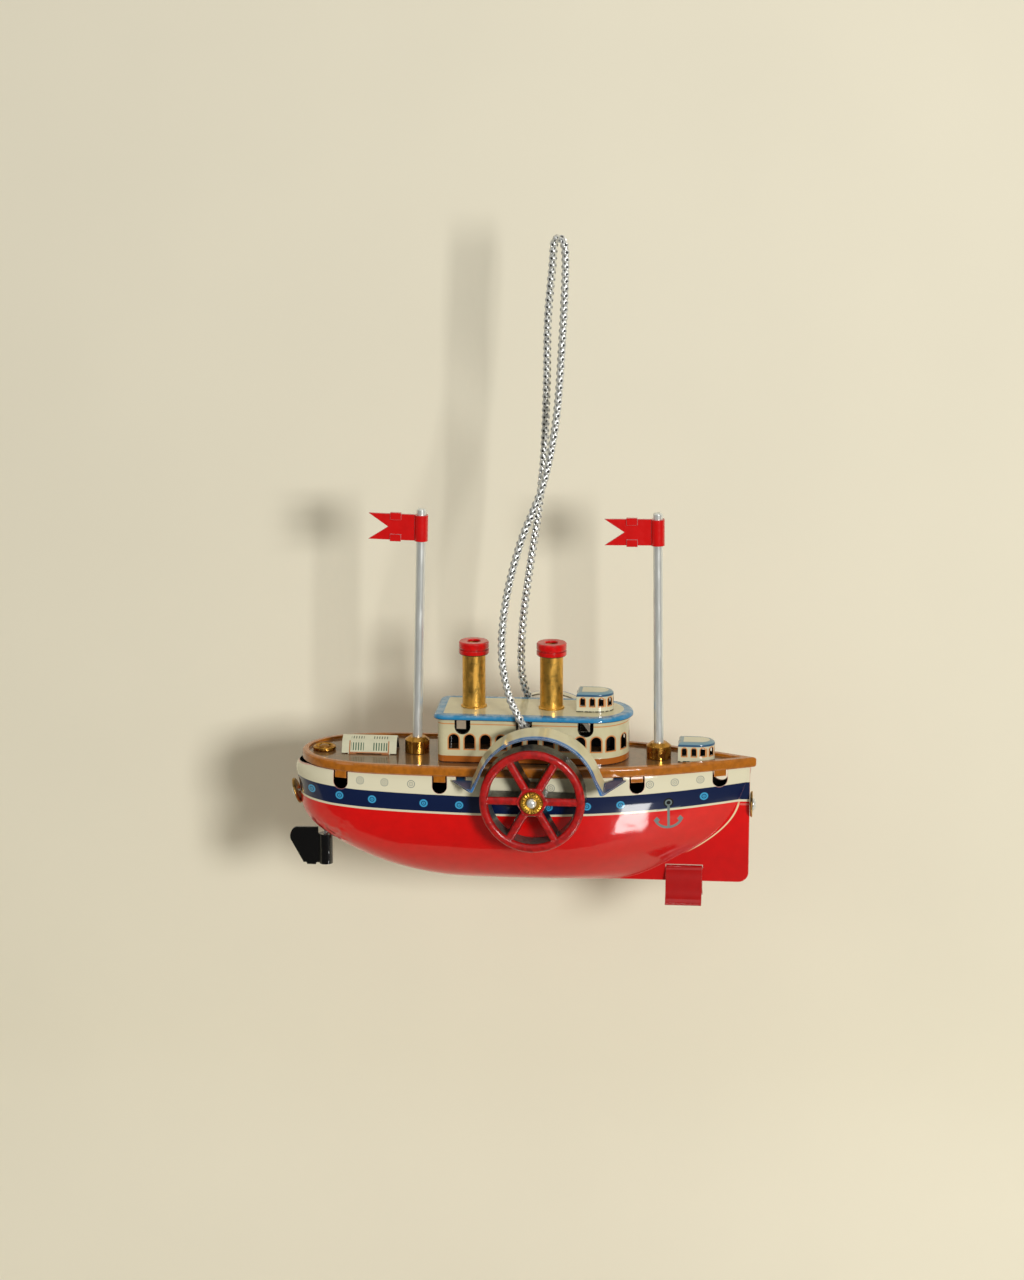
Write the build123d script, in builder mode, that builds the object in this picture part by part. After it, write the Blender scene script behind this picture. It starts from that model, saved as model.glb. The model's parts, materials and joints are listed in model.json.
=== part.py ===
from build123d import *
import os
from math import cos, hypot, pi, radians, sin

# Tin paddle steamer that hangs from a cord loop. Millimetres, +Z up, +X towards the bow, +Y to port.
# Drawn from the keel line under the paddle shaft; save() then moves every piece, so that the origin is the
# bottom centre of the object's bounding box.

# ---- driving sizes ----
ORIGIN_X = -4.375  # middle of the length over the bow and stern nails
ORIGIN_Z = -5.0  # lowest point of the stand
TIN = 0.35  # sheet thickness of every stamped piece
GAP = 0.02  # air left between pieces that rest on each other
RUN = 0.05  # radial clearance of every running fit
PRESS = 0.01  # radial clearance of every tight fit

STERN_X = -57.4
BOW_X = 51.9
BEAM = 15.3  # half width of the deck over its rolled rim
DECK_Z = 30.6  # top face of the deck floor
RIM_TOP_Z = 31.25
RIM_LOW_Z = 28.9
RIM_WIDTH = 1.5

SHAFT_Z = 25.35
SHAFT_R = 1.2
WHEEL_R = 12.45
WHEEL_DEPTH = 6.2
WHEEL_FACE_Y = 22.7  # outer face of a wheel, from the centre plane

CABIN_AFT_X = -23.8
CABIN_FORE_X = 21.5
CABIN_HALF = 8.7
ROOF_TOP_Z = 42.35
ROOF_HEIGHT = 1.05
ROOF_OVERHANG = 0.95

MAST_X = (-29.6, 28.6)
MAST_LEAN = (1.4, -0.8)  # degrees towards the bow
MAST_R = 1.15
MAST_HEIGHT = 59.8
FUNNEL_X = (-15.8, 2.8)
FUNNEL_R = 2.75
FUNNEL_TOP_Z = 58.45
RUDDER_X = -52.1
CORD_X = -2.9
CORD_R = 1.0

BOW_INSET = 2.2 * TIN  # the inner wall meets at a finer angle, so its tip lies further back
STEM_X = 50.5
FIN_AFT_X = 19.5
FIN_CORNER_R = 2.5
RIM_SECTION = ((0.0, 0.4), (0.35, 0.05), (1.0, 0.0), (1.8, 0.0), (2.15, 0.15), (2.35, 0.55))  # height, inset
NOTCH_X = (-46.5, -22.6, 24.0, 43.4)
NOTCH_WIDTH = 3.5
NOTCH_LOW_Z = 24.6
DECK_TAB_WIDTH = 2.8
DECK_TAB_LOW_Z = 27.3
SEAM_TABS = ((-4.0, 0.0, 0), (-43.3, 6.08, 25))  # x, z, slope in degrees
SEAM_TAB_LENGTH = 6.5
TAB_WIDTH = 2.0
TAB_DEPTH = 1.2  # how far a tab reaches below the floor it passes through

CABIN_CORNER_R = 2.0
ROOF_ROUND = 0.9
CABIN_WINDOW = (2.3, 3.45)  # width, height
CABIN_WINDOW_X = -19.8
CABIN_WINDOW_PITCH = 3.77
CABIN_SILL_Z = 34.1
EAVES_NOTCH_X = (-17.7, CORD_X, 11.6)
EAVES_NOTCH_Z = 39.5  # centre of the round foot of each notch
HOUSE_LENGTH = 8.7
HOUSE_SHOULDER = 4.3  # from the back to where the sides begin to round in
HOUSE_HALF = 3.4
HOUSE_HEIGHT = 4.7
HOUSE_ROUND = 0.8
HOUSE_SILL = 1.45
HOUSE_WINDOW = (1.05, 1.95)
HOUSE_WINDOW_X = (1.5, 3.8, 5.9)
HOUSE_NOSE_X = 5.8
PILOT_X = 9.0
DECKHOUSE_X = 33.3
SKYLIGHT_X = -47.5
SKYLIGHT_LENGTH = 13.2
SKYLIGHT_HALF = 3.4

CABIN_WALL_Y = CABIN_HALF - TIN / 2
HOUSE_WALL_Y = HOUSE_HALF - TIN / 2
SKYLIGHT_WALL_Y = SKYLIGHT_HALF - 0.21  # the sloping sheet meets the deck a little further in
HOUSE_TAB_X = 2.6  # from the back of a deckhouse
CABIN_TABS = [(x, y) for x in (-18, -2, 10) for y in (-CABIN_WALL_Y, CABIN_WALL_Y)]
PILOT_TABS = [(PILOT_X + HOUSE_TAB_X, y) for y in (-HOUSE_WALL_Y, HOUSE_WALL_Y)]
DECKHOUSE_TABS = [(DECKHOUSE_X + HOUSE_TAB_X, y) for y in (-HOUSE_WALL_Y, HOUSE_WALL_Y)]
SKYLIGHT_TABS = [(SKYLIGHT_X + dx, y) for dx in (2.5, 10.7) for y in (-SKYLIGHT_WALL_Y, SKYLIGHT_WALL_Y)]

CAP_R = 3.6
CAP_HEIGHT = 3.1
CAP_BORE_R = 1.55
MAST_BASE_R = 2.95
SPIGOT_R = 1.7
EYELET_BARREL_R = 0.9
POST_R = 0.5
ROSETTE_R = 3.15
NAIL_R = 0.3
NAIL_LENGTH = 1.4
ROSETTES = {
    "bow": ((50.55, 0, 19.6), (1, 0, 0)),
    "stern": ((-58.5, 0, 20.2), (-cos(radians(18)), 0, -sin(radians(18)))),
}

BOX_X = 1.0
BOX_Z = 26.35
BOX_R = 14.5
BOX_INNER_Y = 15.6
BOX_OUTER_Y = 22.2
BOX_FOOT_HALF = 15.7
BOX_SPRING = 18  # degrees above level where the straight legs leave the arch
FOOT_Z = 27.95
FOOT_TIP = 20.5
FOOT_TAB_X = (-17.5, 19.6)
FOOT_TAB_WIDTH = 2.0
STAND_X = 35.0
STAND_WIDTH = 8.75
STAND_SLOT_Z = 3.65

SHAFT_HALF = 24.2
BUSH_R = 1.8
BUSH_IN_Y = 13.2
BUSH_OUT_Y = 14.9
WHEEL_INNER_R = 10.4
SPOKE_WIDTH = 1.9
HUB_R = 3.8
BLADE_TUBE_R = 1.65
BLADE_TUBE_TOP_Z = 9.4
FLAG_LOW = 52.0  # height on the mast
FLAG_HEIGHT = 6.3
FLAG_LENGTH = 12.6
FLAG_NOTCH = 4.7
FLAG_THICKNESS = 0.6
FLAG_TUBE_R = 1.6
LUG_X = -6.1  # from the mast
LUG_LENGTH = 2.6
LUG_WIDTH = 1.7
LUG_OVERHANG = 0.3  # past the edge of the flag, and proud of its near face
CORD_Z = 39.4

SIDES = {"starboard": -1, "port": 1}
ENDS = ("aft", "fore")

os.makedirs("parts", exist_ok=True)


def save(piece, name):
    """Move a finished piece to the object's origin, label it and write it as its own node."""
    with BuildPart() as placed:
        with Locations((-ORIGIN_X, 0, -ORIGIN_Z)):
            add(piece.part)
    placed.part.label = name
    export_step(placed.part, f"parts/{name}.step")


# ---- hull form ----
# Half outline of every waterline, as (share of length from the stern, share of half beam).
PLAN = [
    (0.03, 0.53), (0.09, 0.81), (0.216, 0.965), (0.388, 1.0),
    (0.525, 0.98), (0.72, 0.79), (0.85, 0.49), (0.95, 0.175),
]
BOW_SLOPE = -3.5

# Waterlines from the keel up: height, stern end, bow end, half beam.
WATERLINES = [
    (0.0, -23.0, 20.5, 1.9),
    (0.5, -25.5, 22.4, 3.4),
    (1.5, -29.0, 25.2, 5.6),
    (3.5, -36.5, 29.3, 8.1),
    (7.0, -45.1, 35.4, 10.7),
    (12.0, -53.6, 42.4, 12.8),
    (19.0, -57.9, 47.6, 14.4),
    (25.0, -58.7, 50.2, 14.95),
    (29.3, -56.6, 50.8, 15.0),
]
HULL_TOP_Z = RIM_LOW_Z - GAP


def waterline(z, stern, bow, beam):
    """One closed horizontal outline: a rounded stern, a fine bow."""
    length = bow - stern
    with BuildSketch(Plane.XY.offset(z)) as outline:
        with BuildLine():
            side = [(stern, 0)] + [(stern + u * length, v * beam) for u, v in PLAN] + [(bow, 0)]
            Spline(*side, tangents=[(0, 1), (length, BOW_SLOPE * beam)], tangent_scalars=[1, 1])
            mirror(about=Plane.XZ)
        make_face()
    return outline.sketch


with BuildPart() as hull_skin:
    for level in WATERLINES:
        add(waterline(*level))
    loft()
    for z, stern, bow, beam in WATERLINES:
        add(waterline(z + TIN, stern + TIN, bow - BOW_INSET, beam - TIN))
    loft(mode=Mode.SUBTRACT)

with BuildPart() as hull_shell:
    add(hull_skin.part)
    # Below the crease the two halves lie flat together as a deep fin.
    with BuildSketch(Plane.XZ):
        with BuildLine():
            stem = Polyline((FIN_AFT_X, 0), (STEM_X, 0), (STEM_X, 29.1), (49.2, 29.1))
            crease = [(48.7, 25), (46.4, 20), (43.3, 14.4), (35.6, 8.2), (26.6, 3.3), (FIN_AFT_X, 0.3)]
            Spline(stem @ 1, *crease)
            Line((FIN_AFT_X, 0.3), (FIN_AFT_X, 0))
        make_face()
        fillet(vertices().sort_by_distance((STEM_X, 0))[0], FIN_CORNER_R)
    extrude(amount=TIN, both=True)
    split(bisect_by=Plane.XY.offset(HULL_TOP_Z), keep=Keep.BOTTOM)
    # Notches where the deck tabs bend over.
    with BuildSketch(Plane.XZ):
        with Locations(*[(x, NOTCH_LOW_Z + NOTCH_WIDTH / 2) for x in NOTCH_X]):
            Circle(NOTCH_WIDTH / 2)
            Rectangle(NOTCH_WIDTH, 6, align=(Align.CENTER, Align.MIN))
    extrude(amount=BEAM + 1, both=True, mode=Mode.SUBTRACT)
    # Shaft bush holes.
    with BuildSketch(Plane.XZ):
        with Locations((0, SHAFT_Z)):
            Circle(BUSH_R + PRESS)
    extrude(amount=BEAM + 1, both=True, mode=Mode.SUBTRACT)
    # Slot that the folded stand passes through.
    with BuildSketch(Plane.XZ):
        with Locations((STAND_X, STAND_SLOT_Z)):
            Rectangle(STAND_WIDTH + 0.2, 0.8)
    extrude(amount=2, both=True, mode=Mode.SUBTRACT)
    # Slots for the feet of the paddle boxes.
    with BuildSketch(Plane.XZ):
        with Locations(*[(x, FOOT_Z - 0.15) for x in FOOT_TAB_X]):
            Rectangle(FOOT_TAB_WIDTH + 0.3, 3, align=(Align.CENTER, Align.MIN))
    extrude(amount=BEAM + 1, both=True, mode=Mode.SUBTRACT)
    # Rudder post hole, straight down through the seam.
    with BuildSketch(Plane.XY):
        with Locations((RUDDER_X, 0)):
            Circle(POST_R + RUN)
    extrude(amount=20, mode=Mode.SUBTRACT)
    # Holes for the nails that hold the bow and stern rosettes.
    for centre, away in ROSETTES.values():
        with BuildSketch(Plane(origin=centre, z_dir=away)):
            Circle(NAIL_R + PRESS)
        extrude(amount=NAIL_LENGTH + 1, both=True, mode=Mode.SUBTRACT)

for name, side in SIDES.items():
    with BuildPart() as hull_half:
        add(hull_shell.part)
        # Plane.XZ faces starboard, so its offsets are signed that way.
        keep = Keep.TOP if side < 0 else Keep.BOTTOM
        split(bisect_by=Plane.XZ.offset(-side * GAP / 2), keep=keep)
        if name == "starboard":
            # Seam tabs of this half, folded under the other one.
            for x, z, tilt in SEAM_TABS:
                dx, dz = cos(radians(tilt)), sin(radians(tilt))
                seam = Plane(origin=(x, 0, z), x_dir=(dx, 0, -dz), z_dir=(dz, 0, dx))
                with BuildSketch(seam.offset(-GAP)):
                    RectangleRounded(SEAM_TAB_LENGTH, 1.5, 0.6)
                extrude(amount=-TIN)
                with BuildSketch(seam.offset(-TIN)):
                    with Locations((0, -0.55)):
                        Rectangle(SEAM_TAB_LENGTH - 2, 0.4)
                extrude(amount=2 * TIN - 0.1)
    save(hull_half, f"hull_{name}")

# ---- deck ----
with BuildPart() as deck:
    for height, inset in RIM_SECTION:
        add(waterline(RIM_LOW_Z + height, STERN_X + inset, BOW_X - inset, BEAM - inset))
    loft(ruled=True)
    inner = (STERN_X + RIM_WIDTH, BOW_X - 2.3 * RIM_WIDTH, BEAM - RIM_WIDTH)
    add(waterline(DECK_Z, *inner))
    extrude(amount=RIM_TOP_Z - DECK_Z, mode=Mode.SUBTRACT)
    add(waterline(RIM_LOW_Z, *inner))
    extrude(amount=DECK_Z - TIN - RIM_LOW_Z, mode=Mode.SUBTRACT)
    # Holes for the mast bases, which lean a little, and for the rudder eyelet.
    with BuildSketch(Plane.XY.offset(RIM_LOW_Z)):
        with Locations(*[(x, 0) for x in MAST_X]):
            Circle(SPIGOT_R + RUN)
        with Locations((RUDDER_X, 0)):
            Circle(EYELET_BARREL_R + PRESS)
    extrude(amount=3, mode=Mode.SUBTRACT)
    # Slots for the tabs of everything that stands on the deck.
    with BuildSketch(Plane.XY.offset(RIM_LOW_Z)):
        with Locations(*CABIN_TABS, *DECKHOUSE_TABS, *SKYLIGHT_TABS):
            Rectangle(TAB_WIDTH + 0.2, TIN + 0.2)
    extrude(amount=3, mode=Mode.SUBTRACT)

# Tabs of the deck hang in the hull notches, in line with the hull wall.
with BuildPart() as deck_tabs:
    add(hull_skin.part)
    with BuildSketch(Plane.XZ):
        with Locations(*[(x, DECK_TAB_LOW_Z) for x in NOTCH_X]):
            Rectangle(DECK_TAB_WIDTH, RIM_LOW_Z + 0.1 - DECK_TAB_LOW_Z, align=(Align.CENTER, Align.MIN))
    extrude(amount=BEAM + 1, both=True, mode=Mode.INTERSECT)
with BuildPart() as tabbed_deck:
    add(deck.part)
    add(deck_tabs.part)
save(tabbed_deck, "deck")


# ---- openings ----
def arched_openings(places, width, height):
    """Round-headed openings in the current sketch, at (across, sill) places."""
    with Locations(*places):
        Rectangle(width, height - width / 2, align=(Align.CENTER, Align.MIN))
    with Locations(*[(x, z + height - width / 2) for x, z in places]):
        Circle(width / 2)


def facing(origin, degrees):
    """Upright plane whose normal points at this compass angle from the bow."""
    angle = radians(degrees)
    return Plane(origin=origin, x_dir=(-sin(angle), cos(angle), 0), z_dir=(cos(angle), sin(angle), 0))


# ---- cabin ----
CABIN_ROUND_X = CABIN_FORE_X - CABIN_HALF
with BuildPart() as cabin:
    with BuildSketch(Plane.XY.offset(DECK_Z + GAP)) as cabin_plan:
        with Locations((CABIN_ROUND_X, 0)):
            Rectangle(CABIN_ROUND_X - CABIN_AFT_X, 2 * CABIN_HALF, align=(Align.MAX, Align.CENTER))
        fillet(cabin_plan.vertices().group_by(Axis.X)[0], CABIN_CORNER_R)
        with Locations((CABIN_ROUND_X, 0)):
            Circle(CABIN_HALF)
        offset(amount=-TIN, mode=Mode.SUBTRACT)
    extrude(amount=ROOF_TOP_Z - TIN - DECK_Z - 2 * GAP)
    with BuildSketch(Plane.XZ):
        windows = [(CABIN_WINDOW_X + k * CABIN_WINDOW_PITCH, CABIN_SILL_Z) for k in range(10)]
        arched_openings(windows, *CABIN_WINDOW)
    extrude(amount=CABIN_HALF + 1, both=True, mode=Mode.SUBTRACT)
    for angle in (-57, -28.5, 0, 28.5, 57):
        with BuildSketch(facing((CABIN_ROUND_X, 0, 0), angle)):
            arched_openings([(0, CABIN_SILL_Z)], *CABIN_WINDOW)
        extrude(amount=CABIN_HALF + 1, mode=Mode.SUBTRACT)
    with BuildSketch(facing((0, 0, 0), 180)):
        arched_openings([(y, CABIN_SILL_Z) for y in (-4.5, 0, 4.5)], *CABIN_WINDOW)
    extrude(amount=-CABIN_AFT_X + 1, mode=Mode.SUBTRACT)
    # Wide notches under the eaves; the cord runs through the middle pair.
    with BuildSketch(Plane.XZ):
        with Locations(*[(x, EAVES_NOTCH_Z) for x in EAVES_NOTCH_X]):
            Circle(NOTCH_WIDTH / 2)
            Rectangle(NOTCH_WIDTH, 4, align=(Align.CENTER, Align.MIN))
    extrude(amount=CABIN_HALF + 1, both=True, mode=Mode.SUBTRACT)
    with BuildSketch(Plane.XY.offset(DECK_Z - TAB_DEPTH)):
        with Locations(*CABIN_TABS):
            Rectangle(TAB_WIDTH, TIN)
    extrude(amount=TAB_DEPTH + 2 * GAP)
save(cabin, "cabin")

with BuildPart() as cabin_roof:
    with BuildSketch(Plane.XY.offset(ROOF_TOP_Z - ROOF_HEIGHT)) as roof_plan:
        with Locations((CABIN_ROUND_X, 0)):
            width = 2 * (CABIN_HALF + ROOF_OVERHANG)
            Rectangle(CABIN_ROUND_X - CABIN_AFT_X + ROOF_OVERHANG, width, align=(Align.MAX, Align.CENTER))
        fillet(roof_plan.vertices().group_by(Axis.X)[0], CABIN_CORNER_R + 1)
        with Locations((CABIN_ROUND_X, 0)):
            Circle(CABIN_HALF + ROOF_OVERHANG)
    extrude(amount=ROOF_HEIGHT)
    fillet(cabin_roof.faces().sort_by(Axis.Z)[-1].edges(), ROOF_ROUND)
    offset(amount=-TIN, openings=cabin_roof.faces().sort_by(Axis.Z)[0])
    with BuildSketch(Plane.XY.offset(ROOF_TOP_Z)):
        with Locations(*[(x, 0) for x in FUNNEL_X]):
            Circle(FUNNEL_R + PRESS)
        with Locations(*PILOT_TABS):
            Rectangle(TAB_WIDTH + 0.2, TIN + 0.2)
    extrude(amount=-2, mode=Mode.SUBTRACT)
save(cabin_roof, "cabin_roof")


# ---- deckhouses ----
def house_block(x_aft, floor_z, inset):
    """Solid block of a deckhouse, shrunk by an inset all round and at the top."""
    half = HOUSE_HALF - inset
    shoulder = x_aft + HOUSE_SHOULDER
    with BuildPart() as block:
        with BuildSketch(Plane.XY.offset(floor_z + GAP)):
            with Locations((shoulder, 0)):
                Rectangle(HOUSE_SHOULDER - inset, 2 * half, align=(Align.MAX, Align.CENTER))
                Ellipse(HOUSE_LENGTH - HOUSE_SHOULDER - inset, half)
        extrude(amount=HOUSE_HEIGHT - inset)
        fillet(block.faces().sort_by(Axis.Z)[-1].edges(), HOUSE_ROUND - inset)
    return block.part


def deckhouse(x_aft, floor_z, tabs):
    """A small tin house: flat back, tapering round front, closed top, arched windows."""
    with BuildPart() as house:
        add(house_block(x_aft, floor_z, 0))
        add(house_block(x_aft, floor_z, TIN), mode=Mode.SUBTRACT)
        sill = floor_z + HOUSE_SILL
        with BuildSketch(Plane.XZ):
            arched_openings([(x_aft + dx, sill) for dx in HOUSE_WINDOW_X], *HOUSE_WINDOW)
        extrude(amount=HOUSE_HALF + 1, both=True, mode=Mode.SUBTRACT)
        for angle in (-42, 0, 42):
            with BuildSketch(facing((x_aft + HOUSE_NOSE_X, 0, 0), angle)):
                arched_openings([(0, sill)], *HOUSE_WINDOW)
            extrude(amount=5, mode=Mode.SUBTRACT)
        with BuildSketch(Plane.XY.offset(floor_z - TAB_DEPTH)):
            with Locations(*tabs):
                Rectangle(TAB_WIDTH, TIN)
        extrude(amount=TAB_DEPTH + 2 * GAP)
    return house


save(deckhouse(PILOT_X, ROOF_TOP_Z, PILOT_TABS), "pilot_house")
save(deckhouse(DECKHOUSE_X, DECK_Z, DECKHOUSE_TABS), "fore_deckhouse")


# ---- skylight ----
def bent_strip(points, thickness):
    """Both faces of a strip of sheet bent along points: the far face shifted by its thickness."""
    shifted = []
    for k, (x, y) in enumerate(points):
        before, after = points[max(k - 1, 0)], points[min(k + 1, len(points) - 1)]
        dx, dy = after[0] - before[0], after[1] - before[1]
        length = hypot(dx, dy)
        shifted.append((x + thickness * dy / length, y - thickness * dx / length))
    return points, shifted[::-1]


with BuildPart() as skylight:
    slope = [(-SKYLIGHT_HALF, DECK_Z + 0.2), (-0.55 * SKYLIGHT_HALF, DECK_Z + 3.0)]
    ridge = [(0, DECK_Z + 3.9)]
    outer, inner = bent_strip(slope + ridge + [(-y, z) for y, z in reversed(slope)], TIN)
    with BuildSketch(Plane.YZ.offset(SKYLIGHT_X)):
        with BuildLine():
            Polyline(*outer, *inner, close=True)
        make_face()
    extrude(amount=SKYLIGHT_LENGTH)
    with BuildSketch(Plane.XY.offset(DECK_Z - TAB_DEPTH)):
        with Locations(*SKYLIGHT_TABS):
            Rectangle(TAB_WIDTH, TIN)
    extrude(amount=TAB_DEPTH + 0.3)
save(skylight, "skylight")


# ---- turned and formed metal ----
def turned(profile, plane):
    """Solid of revolution from (radius, height) points; heights run along the plane's y direction."""
    with BuildPart() as piece:
        with BuildSketch(plane):
            with BuildLine():
                Polyline(*profile, close=True)
            make_face()
        revolve(axis=Axis(plane.origin, plane.y_dir))
    return piece


def upright(x):
    """Plane for a turned piece that stands at x on the centre line."""
    return Plane(origin=(x, 0, 0), x_dir=(1, 0, 0), z_dir=(0, -1, 0))


def outward(side):
    """Plane for a turned piece on the paddle shaft, with heights from the centre plane to that side."""
    return Plane(origin=(0, 0, SHAFT_Z), x_dir=(1, 0, 0), z_dir=(0, 0, side))


def along(origin, direction):
    """Plane for a turned piece in the centre plane whose heights run along a direction."""
    dx, _, dz = direction
    return Plane(origin=origin, x_dir=(0, 1, 0), z_dir=(dz, 0, -dx))


for end, x in zip(ENDS, FUNNEL_X):
    bore = FUNNEL_R - TIN
    low = ROOF_TOP_Z - TIN
    top = FUNNEL_TOP_Z - 0.6
    shoulder = FUNNEL_R + 0.35
    flange = FUNNEL_R + 0.9
    tube = [(bore, low - 0.4), (flange, low - 0.4), (flange, low - GAP), (FUNNEL_R, low - GAP)]
    tube += [(FUNNEL_R, ROOF_TOP_Z + GAP), (shoulder, ROOF_TOP_Z + GAP), (shoulder, ROOF_TOP_Z + 0.3)]
    tube += [(FUNNEL_R, ROOF_TOP_Z + 0.5), (FUNNEL_R, top), (bore, top)]
    save(turned(tube, upright(x)), f"funnel_{end}")

    fit = FUNNEL_R + PRESS
    base = FUNNEL_TOP_Z - CAP_HEIGHT
    groove = CAP_R - 0.45
    cap = [(fit, base), (CAP_R - 0.15, base), (CAP_R, base + 0.2), (CAP_R, base + 1.1)]
    cap += [(groove, base + 1.2), (groove, base + 1.5), (CAP_R, base + 1.6), (CAP_R, FUNNEL_TOP_Z - 0.25)]
    cap += [(CAP_R - 0.25, FUNNEL_TOP_Z), (CAP_BORE_R + 0.2, FUNNEL_TOP_Z), (CAP_BORE_R, FUNNEL_TOP_Z - 0.2)]
    cap += [(CAP_BORE_R, top + GAP), (fit, top + GAP)]
    save(turned(cap, upright(x)), f"funnel_cap_{end}")


# ---- masts ----
def up_mast(x, lean):
    """Plane of a leaning mast: origin on the deck, y direction up the mast."""
    sine, cosine = sin(radians(lean)), cos(radians(lean))
    return Plane(origin=(x, 0, DECK_Z), x_dir=(cosine, 0, -sine), z_dir=(0, -1, 0))


for end, x, lean in zip(ENDS, MAST_X, MAST_LEAN):
    plane = up_mast(x, lean)
    foot = -1.2
    bevel = 0.3
    mast = [(0, foot), (MAST_R, foot), (MAST_R, MAST_HEIGHT - bevel), (MAST_R - bevel, MAST_HEIGHT)]
    mast += [(0, MAST_HEIGHT)]
    save(turned(mast, plane), f"mast_{end}")
    # The socket tilts with its mast, so it needs a little more air above and below the deck.
    floor = 0.1
    under = -TIN - 0.08
    bore = MAST_R + PRESS
    rivet = SPIGOT_R + 0.7
    base = [(bore, under - 0.5), (rivet, under - 0.5), (rivet, under), (SPIGOT_R, under), (SPIGOT_R, floor)]
    base += [(MAST_BASE_R, floor), (MAST_BASE_R, 3.1), (MAST_BASE_R - 1.0, 3.9), (bore, 3.9)]
    save(turned(base, plane), f"mast_base_{end}")

# ---- rudder eyelet ----
eyelet_low = DECK_Z - TIN - GAP
post_bore = POST_R + RUN
rolled = eyelet_low - 0.35
eyelet = [(post_bore, rolled), (1.9, rolled), (1.9, eyelet_low), (EYELET_BARREL_R, eyelet_low)]
eyelet += [(EYELET_BARREL_R, DECK_Z + GAP), (2.55, DECK_Z + GAP), (2.8, DECK_Z + 0.3), (2.75, DECK_Z + 0.75)]
eyelet += [(2.45, DECK_Z + 1.0), (2.1, DECK_Z + 0.85), (1.85, DECK_Z + 0.45), (post_bore, DECK_Z + 0.4)]
save(turned(eyelet, upright(RUDDER_X)), "rudder_eyelet")

# ---- bow and stern rosettes ----
for name, (centre, away) in ROSETTES.items():
    plane = along(centre, away)
    dish = [(NAIL_R + PRESS, 0.35), (1.2, 0.3), (2.2, 0.05), (2.9, 0.1), (ROSETTE_R, 0.4), (ROSETTE_R, 0.6)]
    dish += [(2.7, 0.42), (2.2, 0.35), (1.2, 0.62), (NAIL_R + PRESS, 0.68)]
    save(turned(dish, plane), f"{name}_rosette")
    nail = [(0, -NAIL_LENGTH), (NAIL_R, -NAIL_LENGTH), (NAIL_R, 0.7)]
    nail += [(1.55, 0.7), (1.45, 1.0), (1.1, 1.3), (0.6, 1.48), (0, 1.52)]
    save(turned(nail, plane), f"{name}_nail")

# ---- paddle boxes ----
# The strip slopes outwards and down: a larger arch by the hull, a smaller one at the outer edge.
# Each arch is (distance from the centre plane, radius, half width at the feet, foot height).
BOX_ARCHES = (
    (BOX_INNER_Y, BOX_R + 0.9, BOX_FOOT_HALF + 0.4, FOOT_Z),
    (BOX_OUTER_Y, BOX_R, BOX_FOOT_HALF, FOOT_Z - 0.68),
)
LEG_SLANT = 1.06  # sheet thickness measured level across a sloping leg
UNDERCUT = 2.5  # sheet thicknesses that the hollow is carried on below the feet

with BuildPart() as paddle_box:
    for inset, mode in ((0, Mode.ADD), (TIN, Mode.SUBTRACT)):
        for y, radius, foot_half, low in BOX_ARCHES:
            r = radius - inset
            foot = foot_half - LEG_SLANT * inset
            z = low - UNDERCUT * inset
            shoulder_x = r * cos(radians(BOX_SPRING))
            shoulder_z = BOX_Z + r * sin(radians(BOX_SPRING))
            left = (BOX_X - shoulder_x, shoulder_z)
            right = (BOX_X + shoulder_x, shoulder_z)
            with BuildSketch(Plane.XZ.offset(y)):
                with BuildLine():
                    ThreePointArc(left, (BOX_X, BOX_Z + r), right)
                    Polyline(right, (BOX_X + foot, z), (BOX_X - foot, z), left)
                make_face()
        loft(ruled=True, mode=mode)
    # Feet: flaps folded out towards the hull, each with a tab for its slot.
    slope = radians(6)
    fold = (BOX_X, -BOX_INNER_Y, FOOT_Z)
    foot_plane = Plane(origin=fold, x_dir=(1, 0, 0), z_dir=(0, -sin(slope), cos(slope)))
    for sign, reach, tab_x in ((-1, 0.0, FOOT_TAB_X[0]), (1, 2.6, FOOT_TAB_X[1])):
        inner_x = BOX_FOOT_HALF - 0.5
        outer_y = BOX_INNER_Y - BOX_OUTER_Y
        near = abs(tab_x - BOX_X) - FOOT_TAB_WIDTH / 2
        far = near + FOOT_TAB_WIDTH
        end = reach + 1.9
        flap = [(inner_x, outer_y), (BOX_FOOT_HALF, outer_y), (FOOT_TIP, reach), (far, reach)]
        flap += [(far, end), (near, end), (near, reach), (inner_x, 0)]
        with BuildSketch(foot_plane):
            with BuildLine():
                Polyline(*[(sign * x, y) for x, y in flap], close=True)
            make_face()
        extrude(amount=TIN)
save(paddle_box, "paddle_box_starboard")
with BuildPart() as port_box:
    add(mirror(paddle_box.part, about=Plane.XZ, mode=Mode.PRIVATE))
save(port_box, "paddle_box_port")

# ---- stand ----
with BuildPart() as stand:
    leaf = [(-4.9, -4.3), (-4.4, -4.65), (-3.6, -4.1), (-1.5, 2.4)]
    crown = [(0, STAND_SLOT_Z + TIN / 2)]
    outer, inner = bent_strip(leaf + crown + [(-y, z) for y, z in reversed(leaf)], TIN)
    with BuildSketch(Plane.YZ.offset(STAND_X - STAND_WIDTH / 2)):
        with BuildLine():
            top = Spline(*outer)
            under = Spline(*inner)
            Line(top @ 1, under @ 0)
            Line(under @ 1, top @ 0)
        make_face()
    extrude(amount=STAND_WIDTH)
save(stand, "stand")

# ---- paddle shaft ----
with BuildPart() as paddle_shaft:
    with BuildSketch(Plane.XZ):
        with Locations((0, SHAFT_Z)):
            Circle(SHAFT_R)
    extrude(amount=SHAFT_HALF, both=True)
    fillet(paddle_shaft.edges().filter_by(GeomType.CIRCLE), SHAFT_R - 0.2)
save(paddle_shaft, "paddle_shaft")

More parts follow.
